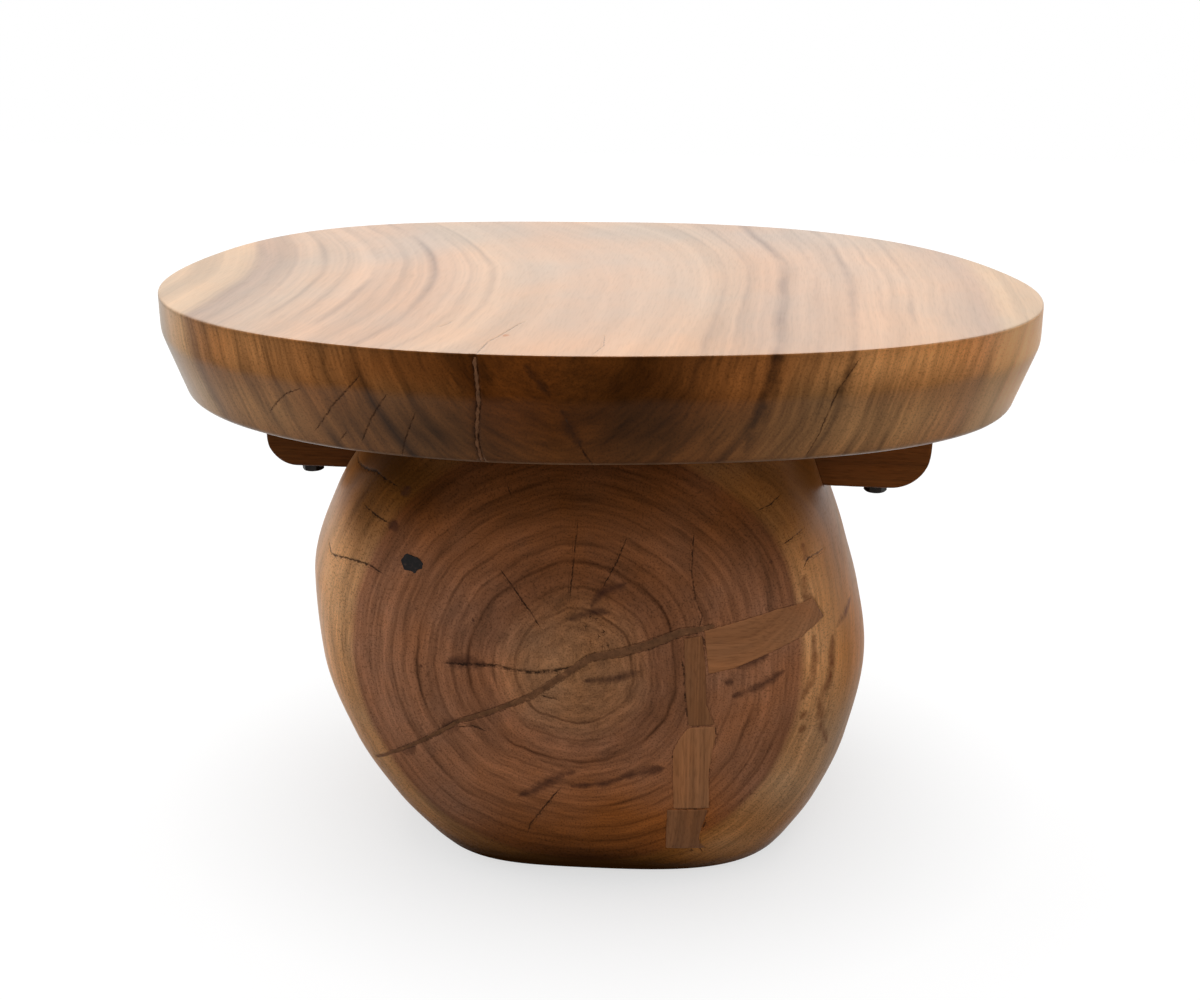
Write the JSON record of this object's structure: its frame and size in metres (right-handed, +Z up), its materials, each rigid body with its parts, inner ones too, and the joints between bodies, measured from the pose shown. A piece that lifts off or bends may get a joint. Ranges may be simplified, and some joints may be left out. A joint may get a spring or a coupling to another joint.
{
  "type": "coffee table",
  "caption": "Coffee table: a thick hand-cut oval slab of hardwood on a rounded log slice set on edge, with a cross bearer let into the log under the slab.",
  "frame": {"origin": "on the floor, under the middle of the slab's outline", "axes": "+Z up; X along the slab's length and its cross bearer; the end grain face of the log that the picture shows looks towards -Y"},
  "size_m": [0.7369, 0.541, 0.465],
  "materials": {
    "slab_wood": "oiled hardwood slab, satin, pale face with darker streaks and end grain rim",
    "log_wood": "oiled end grain, satin, brown heartwood with paler sapwood at the sides",
    "bearer_wood": "oiled dark hardwood, satin",
    "inlay_wood": "hardwood let in flush and oiled with the log",
    "wood_filler": "sanded wood filler, matte",
    "dark_resin": "black tinted resin, sanded flush",
    "blackened_steel": "blackened steel, satin",
    "zinc_steel": "bright zinc plate",
    "glide_plastic": "black nylon, matte"
  },
  "bodies": {
    "root": {"table_top": "slab_wood", "trunk_base": "log_wood", "cross_bearer": "bearer_wood", "bearer_coach_screws": "blackened_steel", "bearer_washers": "blackened_steel", "trunk_lag_screws": "zinc_steel", "trunk_lag_washers": "zinc_steel", "foot_glides": "glide_plastic", "glide_nails": "zinc_steel", "rim_crack_fillet": "wood_filler", "slanted_rim_fillet": "wood_filler", "diagonal_crack_fillet": "wood_filler", "wedge_inlay": "inlay_wood", "upright_strip_inlay": "inlay_wood", "middle_patch_inlay": "inlay_wood", "foot_patch_inlay": "inlay_wood", "knot_plug": "dark_resin"}
  },
  "joints": []
}
